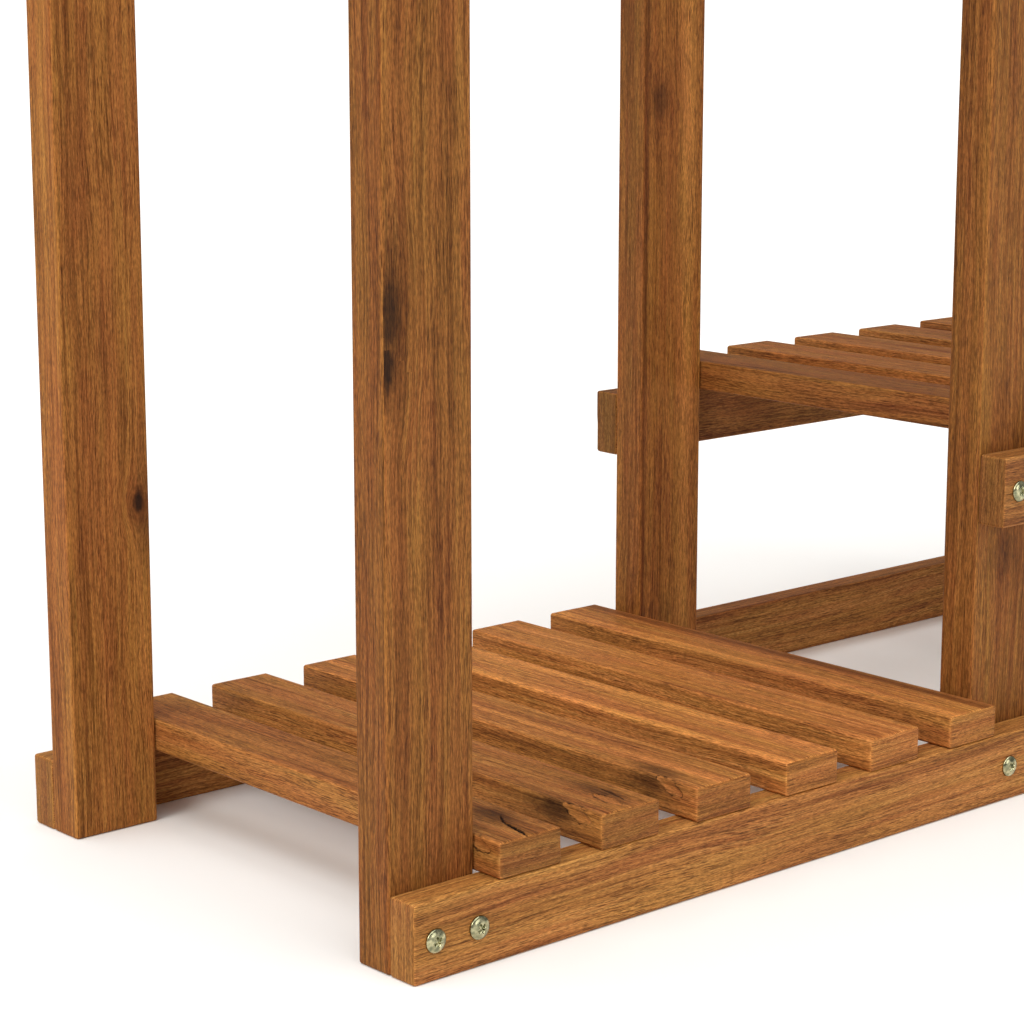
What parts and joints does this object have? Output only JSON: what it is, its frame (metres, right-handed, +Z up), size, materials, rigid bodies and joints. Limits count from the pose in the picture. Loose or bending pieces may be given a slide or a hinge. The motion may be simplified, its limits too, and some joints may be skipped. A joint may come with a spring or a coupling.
{
  "type": "potting bench",
  "caption": "Acacia potting bench with a slatted worktop, a low shelf on the left, a mid shelf on the right and a narrow raised back shelf.",
  "frame": {"origin": "on the floor under the centre of the bench's bounding box", "axes": "+X to the right as one faces the bench, +Y to its back, +Z up"},
  "size_m": [0.975, 0.363, 1.1],
  "materials": {
    "leg_timber": "acacia, planed, oiled warm brown",
    "rail_timber": "acacia, planed, oiled warm brown",
    "slat_timber": "acacia, planed, oiled warm brown, a little lighter",
    "zinc_fasteners": "yellow-passivated zinc plate on steel"
  },
  "bodies": {
    "root": {"front_leg_left": "leg_timber", "back_leg_left": "leg_timber", "front_leg_middle": "leg_timber", "back_leg_middle": "leg_timber", "front_leg_right": "leg_timber", "back_leg_right": "leg_timber", "lower_front_rail": "rail_timber", "lower_back_rail": "rail_timber", "mid_front_rail": "rail_timber", "mid_back_rail": "rail_timber", "top_front_rail": "rail_timber", "top_back_rail": "rail_timber", "back_guard_rail": "rail_timber", "lower_slat_1": "slat_timber", "lower_slat_2": "slat_timber", "lower_slat_3": "slat_timber", "lower_slat_4": "slat_timber", "lower_slat_5": "slat_timber", "lower_slat_6": "slat_timber", "mid_slat_1": "slat_timber", "mid_slat_2": "slat_timber", "mid_slat_3": "slat_timber", "mid_slat_4": "slat_timber", "mid_slat_5": "slat_timber", "mid_slat_6": "slat_timber", "worktop_slat_left_1": "slat_timber", "worktop_slat_left_2": "slat_timber", "worktop_slat_left_3": "slat_timber", "worktop_slat_left_4": "slat_timber", "worktop_slat_left_5": "slat_timber", "worktop_slat_left_6": "slat_timber", "worktop_slat_left_7": "slat_timber", "worktop_slat_right_1": "slat_timber", "worktop_slat_right_2": "slat_timber", "worktop_slat_right_3": "slat_timber", "worktop_slat_right_4": "slat_timber", "worktop_slat_right_5": "slat_timber", "worktop_slat_right_6": "slat_timber", "worktop_slat_right_7": "slat_timber", "worktop_column_slat_left": "slat_timber", "worktop_column_slat_middle": "slat_timber", "worktop_column_slat_right": "slat_timber", "column_cleat_left": "rail_timber", "column_cleat_middle": "rail_timber", "column_cleat_right": "rail_timber", "upper_arm_left": "rail_timber", "upper_arm_middle": "rail_timber", "upper_arm_right": "rail_timber", "upper_board_1": "slat_timber", "upper_board_2": "slat_timber", "upper_board_3": "slat_timber", "lower_rail_bolts": "zinc_fasteners", "mid_rail_bolts": "zinc_fasteners", "top_rail_bolts": "zinc_fasteners", "guard_rail_bolts": "zinc_fasteners", "cleat_bolts": "zinc_fasteners", "arm_bolts": "zinc_fasteners", "insert_nuts": "zinc_fasteners", "slat_screws": "zinc_fasteners"}
  },
  "joints": []
}
